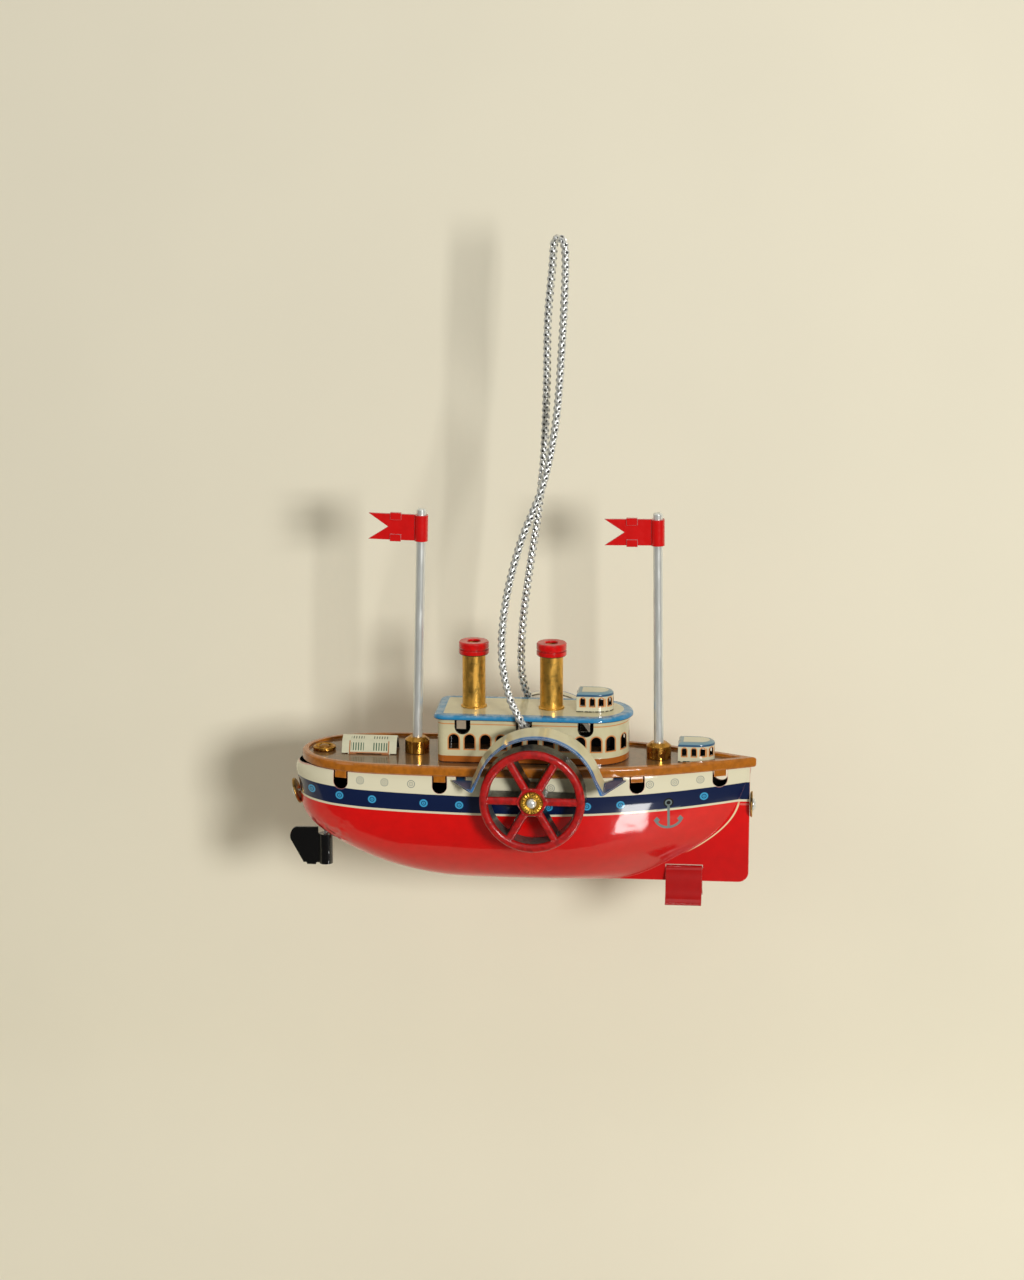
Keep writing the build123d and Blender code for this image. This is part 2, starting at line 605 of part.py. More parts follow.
wheel_back = WHEEL_FACE_Y - WHEEL_DEPTH
for name, side in SIDES.items():
    # Flanged bush in the hull wall, closed over on the inside.
    bore = SHAFT_R + RUN
    bush = [(bore, BUSH_IN_Y), (2.4, BUSH_IN_Y), (2.4, BUSH_IN_Y + 0.3), (BUSH_R, BUSH_IN_Y + 0.3)]
    bush += [(BUSH_R, BUSH_OUT_Y), (2.7, BUSH_OUT_Y), (2.7, BUSH_OUT_Y + 0.3), (bore, BUSH_OUT_Y + 0.3)]
    save(turned(bush, outward(side)), f"shaft_bush_{name}")

    fit = SHAFT_R + PRESS
    near = BUSH_OUT_Y + 0.3 + RUN
    far = wheel_back - GAP
    spacer = [(fit, near), (2.1, near), (2.1, far), (fit, far)]
    save(turned(spacer, outward(side)), f"shaft_spacer_{name}")

    face = WHEEL_FACE_Y + GAP
    ring = [(fit, face), (2.5, face), (2.75, face + 0.25), (2.7, face + 0.6), (2.4, face + 0.95)]
    ring += [(1.9, face + 1.0), (1.5, face + 0.75), (fit, face + 0.7)]
    save(turned(ring, outward(side)), f"hub_ring_{name}")

    with BuildPart() as wheel:
        with BuildSketch(outward(side)) as rim_profile:
            with Locations(((WHEEL_R + WHEEL_INNER_R) / 2, (wheel_back + WHEEL_FACE_Y) / 2)):
                Rectangle(WHEEL_R - WHEEL_INNER_R, WHEEL_DEPTH)
            fillet(rim_profile.vertices().group_by(Axis.Y)[-1], 0.85)
        revolve(axis=Axis((0, 0, SHAFT_Z), (0, 1, 0)))
        for k in range(6):
            angle = k * pi / 3
            ray = Plane(origin=(0, 0, SHAFT_Z), x_dir=(0, side, 0), z_dir=(cos(angle), 0, sin(angle)))
            with BuildSketch(ray) as spoke_profile:
                with Locations((wheel_back + 0.2, 0)):
                    Rectangle(WHEEL_DEPTH - 0.5, SPOKE_WIDTH, align=(Align.MIN, Align.CENTER))
                fillet(spoke_profile.vertices().group_by(Axis.X)[-1], 0.7)
            extrude(amount=WHEEL_INNER_R + 0.5)
        with BuildSketch(Plane.XZ.offset(-side * wheel_back)):
            with Locations((0, SHAFT_Z)):
                RegularPolygon(HUB_R, 6)
        extrude(amount=-side * (WHEEL_DEPTH - 0.1))
        with BuildSketch(Plane.XZ):
            with Locations((0, SHAFT_Z)):
                Circle(fit)
        extrude(amount=WHEEL_FACE_Y + 1, both=True, mode=Mode.SUBTRACT)
    save(wheel, f"paddle_wheel_{name}")

# ---- rudder ----
with BuildPart() as rudder_blade:
    with BuildSketch(Plane.XZ):
        with BuildLine():
            heel = [(-53.0, 2.0), (-54.4, 2.0), (-54.6, 1.5), (-56.7, 1.5), (-56.9, 2.0), (-57.6, 2.0)]
            Polyline(*heel, (-60.7, 7.7))
            Spline((-60.7, 7.7), (-60.5, 9.8), (-58.8, 10.9), tangents=[(-0.3, 1), (1, 0)])
            step = [(-53.9, 11.0), (-53.9, BLADE_TUBE_TOP_Z), (-53.0, BLADE_TUBE_TOP_Z)]
            Polyline((-58.8, 10.9), *step, (-53.0, 2.0))
        make_face()
    extrude(amount=TIN, both=True)
    with BuildSketch(Plane.XY.offset(1.9)):
        with Locations((RUDDER_X, 0)):
            Circle(BLADE_TUBE_R)
    extrude(amount=BLADE_TUBE_TOP_Z - 1.9)
    with BuildSketch(Plane.XY):
        with Locations((RUDDER_X, 0)):
            Circle(POST_R + PRESS)
    extrude(amount=15, mode=Mode.SUBTRACT)
save(rudder_blade, "rudder_blade")

head = DECK_Z + 0.4 + RUN
post = [(0, 2.4), (POST_R, 2.4), (POST_R, head)]
post += [(1.25, head), (1.2, head + 0.4), (0.7, head + 0.75), (0, head + 0.85)]
save(turned(post, upright(RUDDER_X)), "rudder_post")

# ---- flags ----
for end, x, lean in zip(ENDS, MAST_X, MAST_LEAN):
    plane = up_mast(x, lean)
    top = FLAG_LOW + FLAG_HEIGHT
    middle = FLAG_LOW + FLAG_HEIGHT / 2
    with BuildPart() as flag:
        with BuildSketch(plane):
            with BuildLine():
                tail = [(-FLAG_LENGTH, FLAG_LOW), (FLAG_NOTCH - FLAG_LENGTH, middle), (-FLAG_LENGTH, top)]
                Polyline((0, FLAG_LOW), *tail, (0, top), close=True)
            make_face()
        extrude(amount=FLAG_THICKNESS / 2, both=True)
        # Two lugs folded over from the far layer lock the sheet shut.
        with BuildSketch(plane.offset(-FLAG_THICKNESS / 2)):
            inwards = LUG_WIDTH / 2 - LUG_OVERHANG
            with Locations((LUG_X, FLAG_LOW + inwards), (LUG_X, top - inwards)):
                Rectangle(LUG_LENGTH, LUG_WIDTH)
        extrude(amount=FLAG_THICKNESS + LUG_OVERHANG)
        with BuildSketch(plane):
            Polygon((0, FLAG_LOW), (FLAG_TUBE_R, FLAG_LOW), (FLAG_TUBE_R, top), (0, top), align=None)
        revolve(axis=Axis(plane.origin, plane.y_dir))
        with BuildSketch(plane):
            bore = MAST_R + RUN
            Polygon((0, FLAG_LOW - 1), (bore, FLAG_LOW - 1), (bore, top + 1), (0, top + 1), align=None)
        revolve(axis=Axis(plane.origin, plane.y_dir), mode=Mode.SUBTRACT)
    save(flag, f"flag_{end}")

# ---- hanging cord ----
# The cord leaves the cabin the same way on both sides, given here to port, and bends up round the eaves.
CORD_EXIT = [
    (CORD_X, 3.6, CORD_Z), (CORD_X, 7.2, CORD_Z), (-2.95, 9.5, 39.65), (-3.3, 11.0, 41.1), (-4.4, 11.3, 43.6),
]
# Then each strand takes its own course up to the loop.
STARBOARD_RISE = [
    (-6.6, -10.9, 48.8), (-8.2, -9.9, 58.5), (-7.2, -8.9, 71), (-3.9, -7.4, 84.4),
    (1.1, -5.5, 97.7), (4.0, -3.5, 113), (5.3, -2.1, 132), (5.9, -1.5, 148),
]
PORT_RISE = [
    (-5.4, 10.8, 49.5), (-5.0, 9.8, 60), (-3.4, 8.4, 73), (-1.1, 6.6, 88),
    (0.5, 4.6, 103), (1.2, 3.2, 119.7), (1.5, 2.2, 135), (2.6, 1.5, 148),
]
LOOP_TOP = Plane(origin=(4.3, 0, 152.2), x_dir=(0.75, -0.66, 0), z_dir=(-0.66, -0.75, 0))
LOOP_TOP_R = 2.2
BEND_STEPS = 4

with BuildPart() as hanging_cord:
    turns = [pi * k / BEND_STEPS for k in range(BEND_STEPS + 1)]
    bend = [LOOP_TOP.from_local_coords((LOOP_TOP_R * cos(t), LOOP_TOP_R * sin(t), 0)) for t in turns]
    # The two ends of the cord lie close together inside the cabin.
    ends = [(CORD_X, y, CORD_Z) for y in (-0.6, 0.6)]
    starboard = [(x, -y, z) for x, y, z in CORD_EXIT] + STARBOARD_RISE
    port = CORD_EXIT + PORT_RISE
    with BuildLine() as run:
        Polyline(ends[0], *starboard, *bend, *port[::-1], ends[1])
    with BuildSketch(Plane(origin=run.line @ 0, z_dir=run.line % 0)):
        Circle(CORD_R)
    sweep(transition=Transition.ROUND)
save(hanging_cord, "hanging_cord")
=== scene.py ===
import json
import math

import bpy
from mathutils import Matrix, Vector


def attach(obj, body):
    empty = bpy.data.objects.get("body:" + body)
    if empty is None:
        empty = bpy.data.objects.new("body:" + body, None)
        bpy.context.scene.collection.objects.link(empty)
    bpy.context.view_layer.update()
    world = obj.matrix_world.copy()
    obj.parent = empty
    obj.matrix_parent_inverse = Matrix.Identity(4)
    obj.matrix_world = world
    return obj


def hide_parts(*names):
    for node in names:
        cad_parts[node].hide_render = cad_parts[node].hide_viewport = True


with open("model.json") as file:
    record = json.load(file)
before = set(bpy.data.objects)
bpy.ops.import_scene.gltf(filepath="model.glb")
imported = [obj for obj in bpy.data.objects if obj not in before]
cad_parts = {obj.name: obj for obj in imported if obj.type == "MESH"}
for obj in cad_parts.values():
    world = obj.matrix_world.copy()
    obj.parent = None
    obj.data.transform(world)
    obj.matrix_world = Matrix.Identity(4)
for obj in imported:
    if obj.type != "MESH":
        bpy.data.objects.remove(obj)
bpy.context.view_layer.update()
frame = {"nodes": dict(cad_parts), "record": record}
scene = bpy.context.scene

# Patterns and points below are in millimetres from the keel line under the paddle shaft;
# the CAD frame's own origin is this far from it.
ORIGIN_X = -4.375
ORIGIN_Z = -5.0

RED = (222, 2, 2)
DARK_RED = (172, 2, 2)
NAVY = (3, 24, 66)
CREAM = (222, 216, 188)
CABIN_CREAM = (208, 200, 162)
RIM_BROWN = (178, 104, 20)
FLOOR_BROWN = (118, 84, 50)
BASE_BROWN = (168, 92, 30)
LINE_ORANGE = (205, 118, 40)
ROOF_BLUE = (30, 122, 170)
WORN_BLUE = (140, 172, 192)
EDGE_BLUE = (52, 112, 172)
PORT_BLUE = (62, 160, 208)
PRINT_GREY = (104, 116, 116)
RAW_TIN = (196, 190, 180)
BLACK = (6, 6, 7)


def in_frame(x, y, z):
    """A point given in drawing millimetres, as metres in the CAD frame."""
    return Vector((x - ORIGIN_X, y, z - ORIGIN_Z)) * 0.001


def linear(color):
    """An 8-bit screen colour as scene-linear RGBA."""
    return [(c / 255 / 12.92) if c <= 10 else ((c / 255 + 0.055) / 1.055) ** 2.4 for c in color] + [1.0]


# ---- node arithmetic ----
class Num:
    """A number in a shader tree, so that a printed pattern reads as a formula."""

    def __init__(self, tree, socket):
        self.tree = tree
        self.socket = socket

    def math(self, operation, *others, clamp=False):
        node = self.tree.nodes.new("ShaderNodeMath")
        node.operation = operation
        node.use_clamp = clamp
        self.tree.links.new(self.socket, node.inputs[0])
        for k, other in enumerate(others, 1):
            if isinstance(other, Num):
                self.tree.links.new(other.socket, node.inputs[k])
            else:
                node.inputs[k].default_value = other
        return Num(self.tree, node.outputs[0])

    def __add__(self, other):
        return self.math("ADD", other)

    def __sub__(self, other):
        return self.math("SUBTRACT", other)

    def __mul__(self, other):
        return self.math("MULTIPLY", other)

    def __truediv__(self, other):
        return self.math("DIVIDE", other)

    def __neg__(self):
        return self.math("MULTIPLY", -1.0)

    def __abs__(self):
        return self.math("ABSOLUTE")

    def __or__(self, other):
        return self.math("MAXIMUM", other)

    def __and__(self, other):
        return self.math("MINIMUM", other)

    def over(self, edge, soft=0.08):
        """1 where the number is above the edge, 0 below, with a soft step between."""
        return self.math("MULTIPLY_ADD", 1 / soft, 0.5 - edge / soft, clamp=True)

    def under(self, edge, soft=0.08):
        return self.math("MULTIPLY_ADD", -1 / soft, 0.5 + edge / soft, clamp=True)

    def between(self, low, high, soft=0.08):
        return self.over(low, soft) * self.under(high, soft)

    def repeat(self, first, pitch):
        """Distance from the nearest of a row of places, one pitch apart."""
        return self.math("MULTIPLY_ADD", 1.0, pitch / 2 - first).math("FLOORED_MODULO", pitch) - pitch / 2


def hypot(a, b):
    return (a * a + b * b).math("SQRT")


def nearest(x, z, places):
    """Distance from the nearest of some (x, z) places."""
    gaps = [hypot(x - px, z - pz) for px, pz in places]
    least = gaps[0]
    for gap in gaps[1:]:
        least = least & gap
    return least


def arch(u, v, width, height):
    """Distance outside a round-headed opening; u across from its middle, v up from its sill."""
    r = width / 2
    straight = (abs(u) - r) | -v
    crown = hypot(u, v - (height - r)) - r
    upper = v.over(height - r, 0.02)
    return straight + (crown - straight) * upper


class Finish:
    """A material built up in layers over a Principled shader. Lengths are in millimetres."""

    def __init__(self, name, color, rough=0.35, metal=0.0, coat=0.0, coat_rough=0.04, edge=0.12):
        self.material = bpy.data.materials.new(name)
        self.material.use_nodes = True
        self.tree = self.material.node_tree
        self.shader = self.tree.nodes["Principled BSDF"]
        self.shader.inputs["Coat Weight"].default_value = coat
        self.shader.inputs["Specular IOR Level"].default_value = 0.5 * (1 - 0.8 * coat)
        self.shader.inputs["Coat Roughness"].default_value = coat_rough
        self.place = self.node("ShaderNodeTexCoord").outputs["Object"]
        across, deep, high = [n * 1000.0 for n in self.split(self.place)]
        self.x, self.y, self.z = across + ORIGIN_X, deep, high + ORIGIN_Z
        self.geometry = self.node("ShaderNodeNewGeometry")
        self.nx, self.ny, self.nz = self.split(self.geometry.outputs["Normal"])
        self.soft_normal = self.node("ShaderNodeBevel", samples=6)
        self.soft_normal.inputs["Radius"].default_value = edge / 1000
        self.color = self.node("ShaderNodeRGB").outputs[0]
        self.color.default_value = linear(color)
        self.rough = self.constant(rough)
        self.metal = self.constant(metal)
        self.height = None

    def node(self, kind, **settings):
        node = self.tree.nodes.new(kind)
        for key, value in settings.items():
            setattr(node, key, value)
        return node

    def constant(self, value):
        node = self.node("ShaderNodeValue")
        node.outputs[0].default_value = value
        return Num(self.tree, node.outputs[0])

    def split(self, vector):
        node = self.node("ShaderNodeSeparateXYZ")
        self.tree.links.new(vector, node.inputs[0])
        return [Num(self.tree, socket) for socket in node.outputs]

    def noise(self, size, detail=2.0, stretch=(1, 1, 1), shift=0.0):
        """Noise from 0 to 1 with features about size millimetres across."""
        scale = self.node("ShaderNodeVectorMath", operation="MULTIPLY_ADD")
        self.tree.links.new(self.place, scale.inputs[0])
        scale.inputs[1].default_value = [1000 / size / s for s in stretch]
        scale.inputs[2].default_value = (shift, shift, shift)
        node = self.node("ShaderNodeTexNoise")
        self.tree.links.new(scale.outputs[0], node.inputs["Vector"])
        node.inputs["Scale"].default_value = 1.0
        node.inputs["Detail"].default_value = detail
        return Num(self.tree, node.outputs[0])

    def edge_wear(self, radius=0.25):
        """1 along sharp edges, 0 on open faces."""
        bevel = self.node("ShaderNodeBevel", samples=6)
        bevel.inputs["Radius"].default_value = radius / 1000
        dot = self.node("ShaderNodeVectorMath", operation="DOT_PRODUCT")
        self.tree.links.new(bevel.outputs[0], dot.inputs[0])
        self.tree.links.new(self.geometry.outputs["Normal"], dot.inputs[1])
        return Num(self.tree, dot.outputs["Value"]).under(0.93, 0.1)

    def paint(self, color, mask):
        node = self.node("ShaderNodeMix", data_type="RGBA")
        self.tree.links.new(mask.socket, node.inputs["Factor"])
        self.tree.links.new(self.color, node.inputs["A"])
        node.inputs["B"].default_value = linear(color)
        self.color = node.outputs["Result"]
        return self

    def shade(self, amount, mask):
        """Darkens (below 1) or lightens the colour by a factor where the mask is 1."""
        node = self.node("ShaderNodeVectorMath", operation="SCALE")
        self.tree.links.new(self.color, node.inputs[0])
        factor = mask * (amount - 1.0) + 1.0
        self.tree.links.new(factor.socket, node.inputs["Scale"])
        self.color = node.outputs[0]
        return self

    def roughen(self, value, mask):
        self.rough = self.rough + (-(self.rough - value)) * mask
        return self

    def metallise(self, value, mask):
        self.metal = self.metal + (-(self.metal - value)) * mask
        return self

    def raise_by(self, height):
        """Adds a height in millimetres to the relief."""
        self.height = height if self.height is None else self.height + height
        return self

    def done(self):
        links = self.tree.links
        links.new(self.color, self.shader.inputs["Base Color"])
        links.new(self.rough.socket, self.shader.inputs["Roughness"])
        links.new(self.metal.socket, self.shader.inputs["Metallic"])
        normal = self.soft_normal.outputs[0]
        if self.height is not None:
            bump = self.node("ShaderNodeBump")
            bump.inputs["Distance"].default_value = 1.0
            links.new((self.height * 0.001).socket, bump.inputs["Height"])
            links.new(normal, bump.inputs["Normal"])
            normal = bump.outputs[0]
        links.new(normal, self.shader.inputs["Normal"])
        links.new(normal, self.shader.inputs["Coat Normal"])
        return self.material


def litho(name, color, wave=0.012, gloss=0.035):
    """Printed and varnished tin: a glossy coat over ink, with slight waves in the sheet."""
    finish = Finish(name, color, rough=0.42, coat=0.9, coat_rough=gloss)
    finish.raise_by((finish.noise(9) - 0.5) * wave * 4)
    finish.raise_by((finish.noise(0.7) - 0.5) * wave * 0.12)
    finish.shade(0.86, finish.noise(2.4, detail=5).over(0.62, 0.5))
    return finish


def chips(finish, radius=0.2, amount=0.55):
    """Bare tin where the ink has gone from cut edges."""
    bare = finish.edge_wear(radius) * finish.noise(0.9, detail=4).over(1 - amount, 0.25)
    finish.paint(RAW_TIN, bare)
    finish.metallise(0.8, bare)


# ---- printed tin ----
def sheer(x):
    """How far the printed lines of the hull rise towards both ends."""
    return x * x * 0.0004


NAVY_PORT_X = (-54, -46.8, -38.8, -26.4, -17.9, 3.3, 12.3, 20.2, 39.7)
WHITE_PORT_X = (-41.7, -35.8, -29.4, 3.8, 27.0, 32.8, 38.8)
NAVY_PORTS = [(x, 21.75 + sheer(x) * 1.4) for x in NAVY_PORT_X]
WHITE_PORTS = [(x, 26.4 + sheer(x) * 0.9) for x in WHITE_PORT_X]


def hull_finish():
    f = litho("hull_litho", RED, wave=0.035, gloss=0.07)
    wobble = (f.noise(5) - 0.5) * 0.12
    level = f.z - sheer(f.x) + wobble
    # Painted shade: the red darkens towards the keel.
    f.shade(0.8, f.z.under(12, 12))
    f.paint(NAVY, level.over(19.8))
    f.paint(CREAM, level.between(19.3, 19.85) | level.over(24.1))
    d = nearest(f.x, f.z, NAVY_PORTS)
    f.paint(PORT_BLUE, d.under(0.98, 0.12))
    f.paint((14, 60, 96), d.between(0.4, 0.6, 0.12) | d.under(0.14, 0.12))
    d = nearest(f.x, f.z, WHITE_PORTS)
    rings = d.between(0.78, 0.93, 0.12) | d.between(0.38, 0.5, 0.12) | d.under(0.12, 0.12)
    f.paint(PRINT_GREY, rings * 0.95)
    # Anchor: ring on a black disc, stock, shank, arms and flukes.
    ax, az = 31.4, 21.8
    ring = hypot(f.x - ax, f.z - az)
    f.paint(BLACK, ring.under(1.2))
    u, v = f.x - ax, f.z - az
    arms = hypot(u, v + 3.4)
    anchor = ring.between(0.5, 0.82)
    anchor = anchor | (abs(u).under(0.3) * v.between(-6.6, -0.8))
    anchor = anchor | (abs(arms - 3.25).under(0.32) * v.under(-4.6))
    fluke = abs(abs(u) - 2.75) + abs(v + 4.5) * 0.8
    anchor = anchor | fluke.under(0.75)
    anchor = anchor | (abs(v + 1.5 - u * 0.1).under(0.1) * abs(u).under(2.8) * 0.7)
    f.paint((112, 126, 126), anchor)
    # Painted highlight: a pale line along the crease where the halves are creased together.
    crease = f.x - 37.05 - (f.z - 8.1) * 1.246 + (f.z - 8.1) * (f.z - 14.4) * 0.0597
    f.paint((236, 214, 170), abs(crease).under(0.22, 0.15) * f.z.between(8.0, 20.2, 2.0))
    # The folded seam tabs below the keel are painted dark red in patches.
    f.paint((70, 6, 4), f.z.under(-0.03, 0.04) * f.x.under(5) * f.noise(0.6, detail=3).over(0.4, 0.2))
    # Crumpled sheet round the rudder post.
    crumple = f.x.between(-57, -45, 3) * f.z.under(15, 3)
    f.raise_by((f.noise(2.6, detail=1) - 0.5) * crumple * 0.9)
    # Painted shade: faces that look towards the middle of the boat, the hull's inside, are painted near
    # black.
    shaded_inside = (f.x * f.nx * 0.25 + f.y * f.ny + (f.z - 30.0) * f.nz).under(-0.02, 0.05)
    f.paint((20, 17, 14), shaded_inside)
    edge = f.edge_wear(0.3)
    f.paint((222, 150, 138), edge * 0.75)
    return f.done()


def deck_finish():
    f = litho("deck_litho", RIM_BROWN, wave=0.015)
    floor = f.z.between(30.0, 30.66) * f.nz.over(0.5, 0.2)
    f.paint(FLOOR_BROWN, floor)
    f.shade(0.75, f.noise(1.2, detail=4).over(0.55, 0.3))
    f.paint((226, 158, 108), f.edge_wear(0.35) * f.noise(1.5, detail=4).over(0.5, 0.3) * 0.7)
    # Painted shade: the underside of the deck is painted near black.
    f.paint((16, 12, 8), f.nz.under(-0.9, 0.1) * f.z.over(29.5))
    return f.done()


CABIN_NOSE_X = 12.8


def cabin_shape(f, half, aft, corner):
    """Distance outside the cabin's long outline: round at the nose, with rounded corners aft."""
    nose = hypot(f.x - CABIN_NOSE_X, f.y) - half
    past_end = (-f.x + (aft + corner)) | 0.0
    past_side = (abs(f.y) - (half - corner)) | 0.0
    box = hypot(past_end, past_side) - corner
    return box + (nose - box) * f.x.over(CABIN_NOSE_X, 0.02)


def cabin_finish():
    f = litho("cabin_litho", CABIN_CREAM)
    v = f.z - 34.1
    side = arch(f.x.repeat(-19.8, 3.77), v, 2.3, 3.45)
    side = side + (f.x.under(-21.8, 0.1) + f.x.over(15.9, 0.1)) * 9
    angle = f.y.math("ARCTAN2", f.x - CABIN_NOSE_X) * 8.7
    nose = arch(angle.repeat(0, math.radians(28.5) * 8.7), v, 2.3, 3.45) + (abs(angle).over(10.6, 0.1)) * 9
    on_nose = f.x.over(15.9, 0.05)
    outline = side + (nose - side) * on_nose
    back = arch(f.y.repeat(0, 4.5), v, 2.3, 3.45) + abs(f.y).over(6.6, 0.1) * 9
    outline = outline + (back - outline) * f.nx.under(-0.8, 0.1)
    f.paint(LINE_ORANGE, outline.between(-0.3, 0.34) * 0.85)
    f.paint(BLACK, outline.between(-0.3, 0.06))
    f.paint(LINE_ORANGE, f.z.between(40.05, 40.3) * 0.8)
    f.paint(BASE_BROWN, f.z.under(32.3))
    # Painted shade along the foot of the cabin, where it meets the deck.
    f.paint((60, 30, 12), f.z.under(30.85))
    notch = arch(f.x.repeat(-17.7, 14.65), -(f.z - 42.0), 3.55, 42.0 - 37.72)
    f.paint(BLACK, notch.between(-0.3, 0.12))
    chips(f, 0.15, 0.35)
    # Painted shade: the cabin's inside faces are painted black and made rough.
    shaded_inside = cabin_shape(f, 8.7, -23.8, 2.0).under(-0.15, 0.1)
    f.paint(BLACK, shaded_inside)
    f.roughen(0.9, shaded_inside)
    return f.done()


def roof_finish():
    f = litho("roof_litho", CABIN_CREAM)
    rim = cabin_shape(f, 9.65, -24.75, 3.0)
    wear = f.noise(1.6, detail=5)
    border = rim.over(-2.3, 0.12)
    f.paint(ROOF_BLUE, border)
    f.paint(WORN_BLUE, border * wear.over(0.56, 0.3) * rim.under(-0.25, 0.5) * f.nz.over(0.2, 0.4) * 0.8)
    # Painted shade: dark brown under the roof's lip.
    f.paint((60, 44, 30), f.z.under(41.42, 0.08))
    # Painted shade: the roof's inner faces that do not look up are painted black.
    f.paint(BLACK, rim.under(-0.25, 0.1) * f.nz.under(0.1, 0.1))
    chips(f, 0.2, 0.3)
    return f.done()


def house_finish():
    """Both little houses: windows sit at the same places from each house's back and floor."""
    f = litho("house_litho", (206, 201, 172), wave=0.02)
    upper = f.z.over(40, 0.01)
    x = f.x - 33.3 + upper * 24.3
    z = f.z - 30.6 - upper * 11.75
    v = z - 1.45
    window = arch(x - 1.5, v, 1.05, 1.95) & arch(x - 3.8, v, 1.05, 1.95) & arch(x - 5.9, v, 1.05, 1.95)
    side = window + x.over(6.7, 0.05) * 9
    angle = f.y.math("ARCTAN2", x - 5.8) * 57.3
    nose = arch((angle & 60.0).repeat(0, 42) * 0.045, v, 1.05, 1.95) + x.under(6.7, 0.05) * 9
    outline = side & nose
    f.paint((214, 130, 50), outline.between(-0.3, 0.26, 0.06) * f.nz.under(0.4, 0.1) * 0.9)
    f.paint(BLACK, outline.between(-0.3, 0.05, 0.06) * f.nz.under(0.4, 0.1))
    f.paint((44, 84, 116), z.over(3.75, 0.12))
    f.paint((112, 142, 152), z.over(4.25, 0.2))
    from_nose = hypot((x - 4.3) | 0.0, f.y * 1.28)
    plan = (abs(f.y) - 3.4 | -x) | (from_nose - 4.4)
    f.paint((206, 201, 172), plan.under(-1.25, 0.12) * f.nz.over(0.9, 0.05))
    # Painted shade: black patches along the foot of each house.
    f.paint(BLACK, z.under(0.22, 0.1) * f.noise(0.5).over(0.42, 0.1))
    # Painted shade: the houses' inside faces are painted black.
    f.paint(BLACK, plan.under(-0.3, 0.06) * f.nz.under(0.5, 0.1))
    return f.done()


def skylight_finish():
    f = litho("skylight_litho", (205, 203, 176))
    x = f.x + 47.5
    frame_box = (abs(x - 6.6) - 4.7) | (abs(abs(f.y) - 2.55) - 0.85)
    slope = f.z.under(33.5, 0.05)
    f.paint(BASE_BROWN, abs(frame_box).under(0.14) * slope * 0.9)
    slots = abs(x.repeat(0.3, 0.62)).under(0.13, 0.08) * (x.between(2.2, 5.3) + x.between(7.3, 11.0))
    f.paint((56, 92, 70), slots * f.z.between(31.4, 33.1, 0.1))
    f.paint((96, 104, 88), slots * f.z.between(33.85, 34.25, 0.1))
    # Painted shade: faces that look down are painted black.
    f.paint(BLACK, f.nz.under(-0.1, 0.05))
    chips(f, 0.15, 0.5)
    return f.done()


def box_finish():
    f = litho("box_litho", CABIN_CREAM)
    out = abs(f.y)
    f.paint(EDGE_BLUE, out.over(20.9, 0.15))
    f.paint(WORN_BLUE, out.between(20.75, 21.0, 0.1) * 0.6)
    f.paint((40, 74, 110), f.z.under(28.75) * (abs(f.x - 1.0)).over(15.55))
    f.paint(EDGE_BLUE, out.over(20.9, 0.15) * f.z.under(28.75))
    # The box's inside faces are painted dark grey-brown: the bare inner sheet, darkened by painted shade.
    inner = ((f.x - 1.0) * f.nx + (f.z - 26.35) * f.nz).under(0.0, 0.1)
    f.paint((66, 60, 52), inner * f.z.over(28.6))
    edge = f.edge_wear(0.18)
    f.paint((214, 212, 202), edge * 0.8)
    f.metallise(0.7, edge)
    return f.done()


def stand_finish():
    f = litho("stand_paint", DARK_RED, wave=0.02)
    f.paint((226, 170, 160), f.edge_wear(0.15) * f.noise(0.9, detail=4).over(0.5, 0.2) * 0.7)
    return f.done()


def flag_finish():
    f = litho("flag_paint", (208, 4, 4), wave=0.02)
    f.raise_by((f.noise(3) - 0.5) * 0.2)
    edge = f.edge_wear(0.14) * f.noise(0.9, detail=4).over(0.35, 0.3)
    f.paint((150, 160, 160), edge * 0.8)
    return f.done()


def cap_finish():
    f = Finish("cap_paint", (214, 4, 4), rough=0.3, coat=0.8, coat_rough=0.08, edge=0.2)
    f.shade(0.7, f.noise(1.2, detail=4).over(0.5, 0.3))
    f.raise_by((f.noise(0.5) - 0.5) * 0.02)
    f.paint((230, 120, 110), f.edge_wear(0.15) * f.noise(0.6, detail=3).over(0.5, 0.2) * 0.5)
    # Painted shade: the cap's underside is painted dark red.
    f.paint((30, 5, 5), f.nz.under(-0.5, 0.1))
    return f.done()


# ---- metals and cast paint ----
def brass_finish(name, color, rough, turned=0.006):
    f = Finish(name, color, rough=rough, metal=1.0, edge=0.15)
    lines = f.noise(0.35, detail=3, stretch=(30, 30, 0.5))
    f.raise_by((lines - 0.5) * turned)
    f.roughen(rough + 0.25, f.noise(0.8, detail=5, stretch=(1, 1, 3)).over(0.55, 0.25))
    f.shade(0.6, f.noise(1.1, detail=5).over(0.62, 0.25))
    return f


def steel_finish():
    f = Finish("steel", (232, 235, 232), rough=0.28, metal=0.6, edge=0.2)
    f.raise_by((f.noise(0.4, detail=2, stretch=(1, 1, 12)) - 0.5) * 0.004)
    f.roughen(0.4, f.noise(1.0, detail=5, stretch=(1, 1, 6)).over(0.58, 0.2))
    # The rudder post is headed over in brass on the deck.
    f.paint((150, 104, 44), f.z.over(30.5) * f.x.under(-50))
    f.shade(0.85, f.noise(0.6, detail=4, stretch=(1, 1, 8)).over(0.6, 0.3))
    return f.done()


def hub_ring_finish():
    f = brass_finish("hub_ring", (206, 158, 62), 0.25)
    angle = f.z - 25.35
    angle = angle.math("ARCTAN2", f.x)
    teeth = (angle * 20).math("SINE")
    far = hypot(f.x, f.z - 25.35)
    f.raise_by(teeth * far.between(1.7, 2.9, 0.4) * 0.06)
    return f.done()


